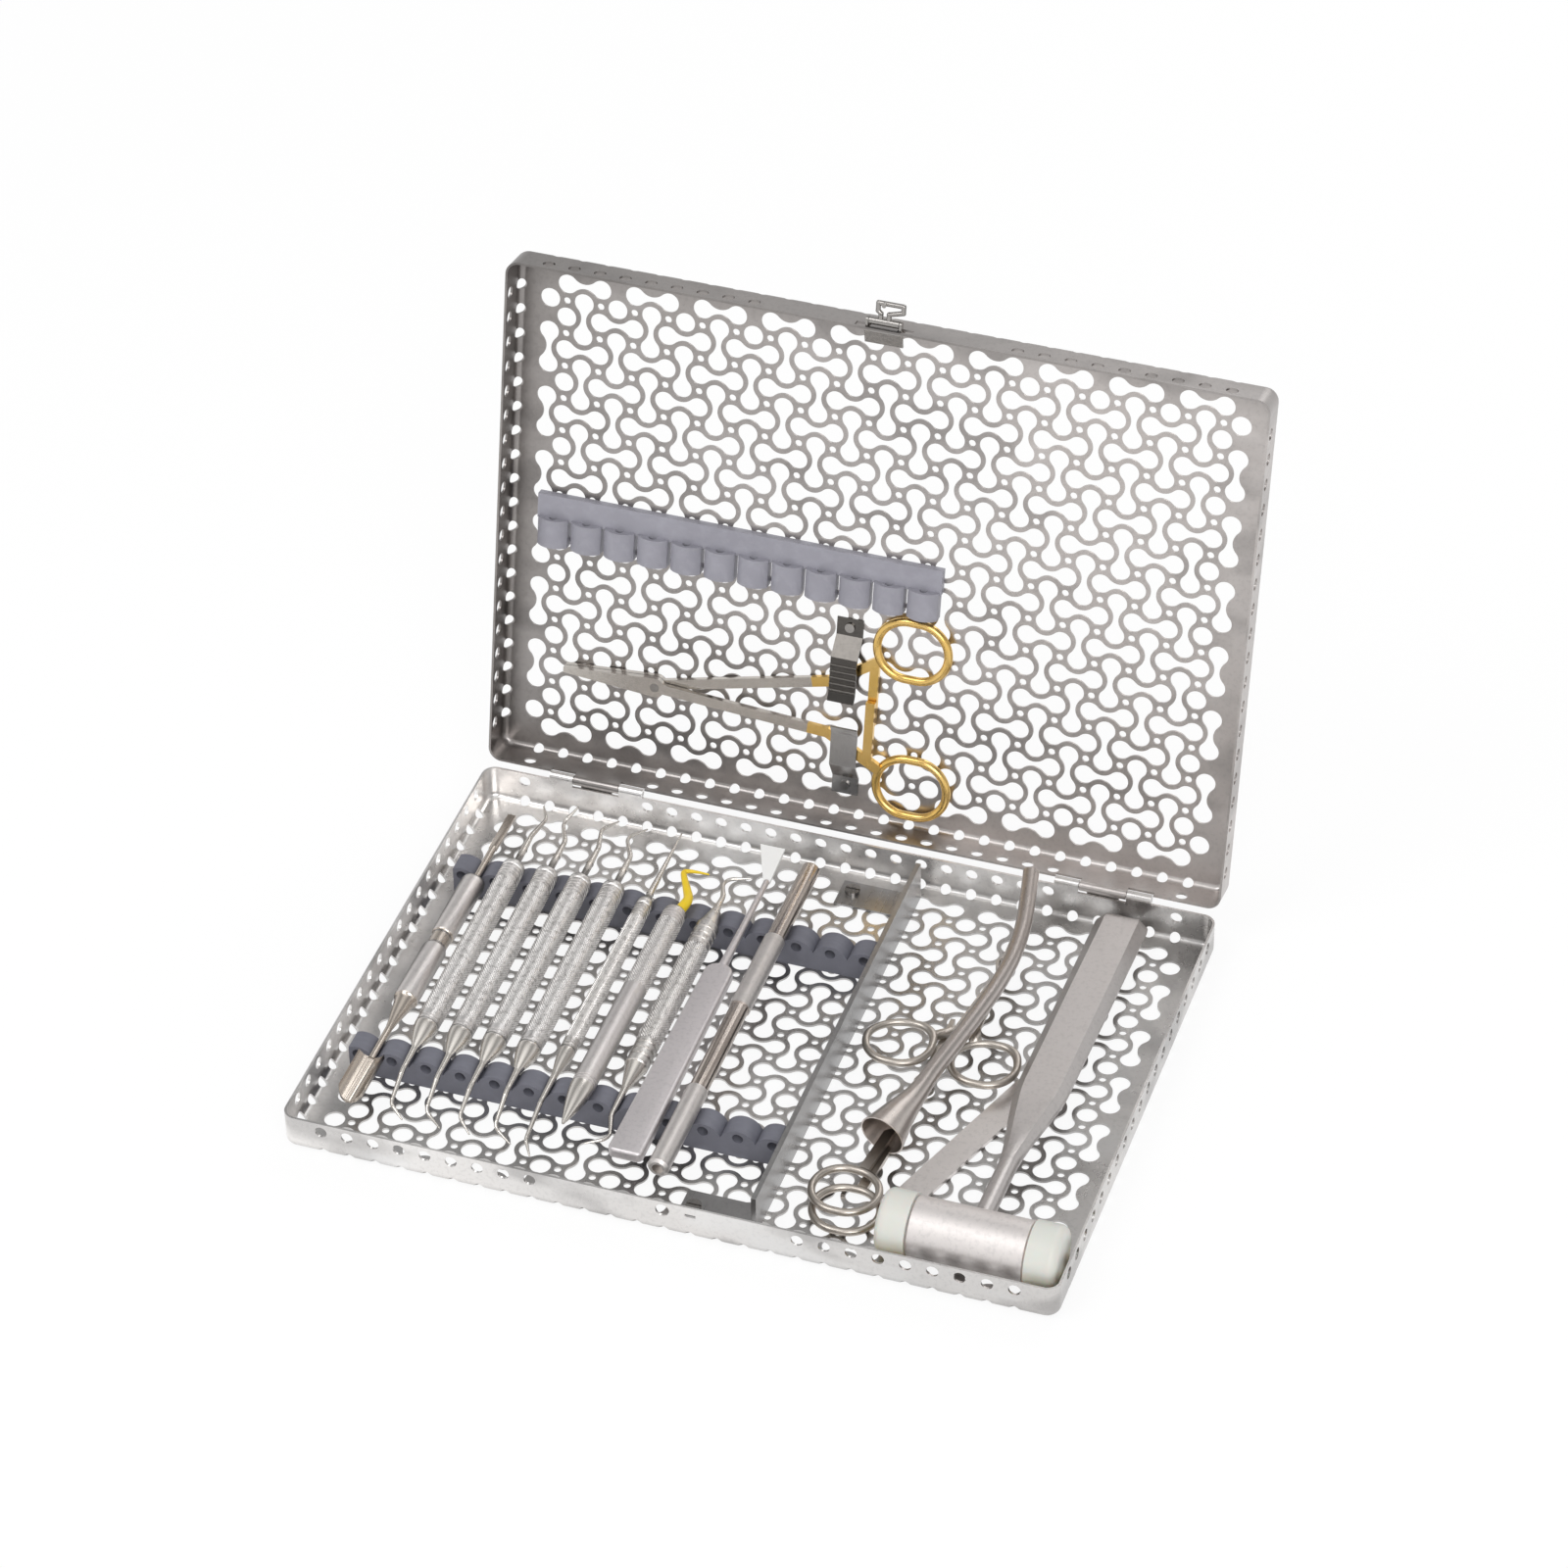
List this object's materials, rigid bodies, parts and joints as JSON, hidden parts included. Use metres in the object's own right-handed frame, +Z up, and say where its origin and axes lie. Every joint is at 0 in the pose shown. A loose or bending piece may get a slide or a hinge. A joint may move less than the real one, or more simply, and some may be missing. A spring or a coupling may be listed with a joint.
{
  "type": "dental instrument cassette",
  "caption": "Perforated steel tray with hinged lid and wire latch, silicone rails and divider, holding lift-out hand instruments, mallet, scissors, forceps and needle holder.",
  "frame": {"origin": "centre of the base tray's flat underside", "axes": "+X to the right seen from the front (latch) side, +Y towards the hinges, +Z up"},
  "size_m": [0.28, 0.2565, 0.2208],
  "materials": {
    "tray_steel": "satin",
    "fastener_steel": "polished",
    "instrument_steel": "polished",
    "spring_steel": "satin",
    "rail_silicone": "matt",
    "pad_silicone": "matt",
    "gold_plate": "polished",
    "yellow_plastic": "glossy",
    "white_plastic": "glossy",
    "nylon": "satin",
    "sleeve_steel": "satin"
  },
  "bodies": {
    "base": {"base_tray": "tray_steel", "hinge_pins": "fastener_steel", "front_rail": "rail_silicone", "rear_rail": "rail_silicone", "rail_studs": "fastener_steel", "divider": "tray_steel", "divider_screws": "fastener_steel"},
    "lid": {"lid_tray": "tray_steel", "lid_rail": "pad_silicone", "lid_rail_studs": "fastener_steel", "clip_upper": "spring_steel", "clip_lower": "spring_steel", "rivets": "fastener_steel", "latch_bracket": "fastener_steel", "latch_pin": "fastener_steel"},
    "latch": {"latch_loop": "fastener_steel"},
    "needle_holder": {"holder_arm_a": "instrument_steel", "holder_bow_a": "gold_plate", "holder_screw": "fastener_steel"},
    "needle_holder_b": {"holder_arm_b": "instrument_steel", "holder_bow_b": "gold_plate"},
    "elevator": {"elevator": "instrument_steel"},
    "curette_1": {"curette_1": "instrument_steel"},
    "curette_2": {"curette_2": "instrument_steel"},
    "curette_3": {"curette_3": "instrument_steel"},
    "curette_4": {"curette_4": "instrument_steel"},
    "fine_probe": {"fine_probe": "instrument_steel"},
    "tipped_probe": {"probe_handle": "instrument_steel", "probe_tip": "yellow_plastic"},
    "scaler": {"scaler": "instrument_steel"},
    "flat_chisel": {"chisel_handle": "instrument_steel", "chisel_blade": "white_plastic"},
    "bar": {"bar_core": "instrument_steel", "bar_sleeves": "sleeve_steel"},
    "retractor": {"retractor": "instrument_steel"},
    "forceps": {"forceps_lower": "instrument_steel", "forceps_screw": "fastener_steel"},
    "forceps_upper": {"forceps_upper": "instrument_steel"},
    "scissors": {"scissors_left": "instrument_steel", "scissors_screw": "fastener_steel"},
    "scissors_right": {"scissors_right": "instrument_steel"},
    "suction_tube": {"suction_tube": "instrument_steel"},
    "mallet": {"mallet_handle": "instrument_steel", "mallet_head": "instrument_steel", "mallet_cap_left": "nylon", "mallet_cap_right": "nylon"}
  },
  "joints": [
    {"name": "lid_hinge", "type": "hinge", "parent": "base", "child": "lid", "pos_m": [0, 0.1011, 0.0145], "axis": [-1, 0, 0], "range_deg": [-102, 0]},
    {"name": "latch_hinge", "type": "hinge", "parent": "lid", "child": "latch", "pos_m": [0, 0.14616, 0.21256], "axis": [1, 0, 0], "range_deg": [0, 90]},
    {"name": "needle_holder_slide", "type": "slide", "parent": "lid", "child": "needle_holder", "axis": [1, 0, 0], "range_m": [0, 0.05]},
    {"name": "needle_holder_pivot", "type": "hinge", "parent": "needle_holder", "child": "needle_holder_b", "pos_m": [-0.0795, 0.12002, 0.05107], "axis": [0, 0.9781, -0.2079], "range_deg": [0, 1.5]},
    {"name": "elevator_lift", "type": "slide", "parent": "base", "child": "elevator", "axis": [0, 0, 1], "range_m": [0, 0.04]},
    {"name": "curette_1_lift", "type": "slide", "parent": "base", "child": "curette_1", "axis": [0, 0, 1], "range_m": [0, 0.04]},
    {"name": "curette_2_lift", "type": "slide", "parent": "base", "child": "curette_2", "axis": [0, 0, 1], "range_m": [0, 0.04]},
    {"name": "curette_3_lift", "type": "slide", "parent": "base", "child": "curette_3", "axis": [0, 0, 1], "range_m": [0, 0.04]},
    {"name": "curette_4_lift", "type": "slide", "parent": "base", "child": "curette_4", "axis": [0, 0, 1], "range_m": [0, 0.04]},
    {"name": "fine_probe_lift", "type": "slide", "parent": "base", "child": "fine_probe", "axis": [0, 0, 1], "range_m": [0, 0.04]},
    {"name": "tipped_probe_lift", "type": "slide", "parent": "base", "child": "tipped_probe", "axis": [0, 0, 1], "range_m": [0, 0.04]},
    {"name": "scaler_lift", "type": "slide", "parent": "base", "child": "scaler", "axis": [0, 0, 1], "range_m": [0, 0.04]},
    {"name": "flat_chisel_lift", "type": "slide", "parent": "base", "child": "flat_chisel", "axis": [0, 0, 1], "range_m": [0, 0.04]},
    {"name": "bar_lift", "type": "slide", "parent": "base", "child": "bar", "axis": [0, 0, 1], "range_m": [0, 0.04]},
    {"name": "forceps_lift", "type": "slide", "parent": "base", "child": "forceps", "axis": [0, 0, 1], "range_m": [0, 0.04]},
    {"name": "forceps_pivot", "type": "hinge", "parent": "forceps", "child": "forceps_upper", "pos_m": [0.0634, -0.006, 0.00335], "axis": [0, 0, 1], "range_deg": [-8, 0]},
    {"name": "retractor_lift", "type": "slide", "parent": "forceps", "child": "retractor", "axis": [0, 0, 1], "range_m": [0, 0.04]},
    {"name": "scissors_lift", "type": "slide", "parent": "retractor", "child": "scissors", "axis": [0, 0, 1], "range_m": [0, 0.04]},
    {"name": "scissors_pivot", "type": "hinge", "parent": "scissors", "child": "scissors_right", "pos_m": [0.0672, 0.058, 0.0076], "axis": [0, 0, 1], "range_deg": [0, 4]},
    {"name": "suction_tube_lift", "type": "slide", "parent": "scissors", "child": "suction_tube", "axis": [0, 0, 1], "range_m": [0, 0.04]},
    {"name": "mallet_lift", "type": "slide", "parent": "retractor", "child": "mallet", "axis": [0, 0, 1], "range_m": [0, 0.04]}
  ]
}
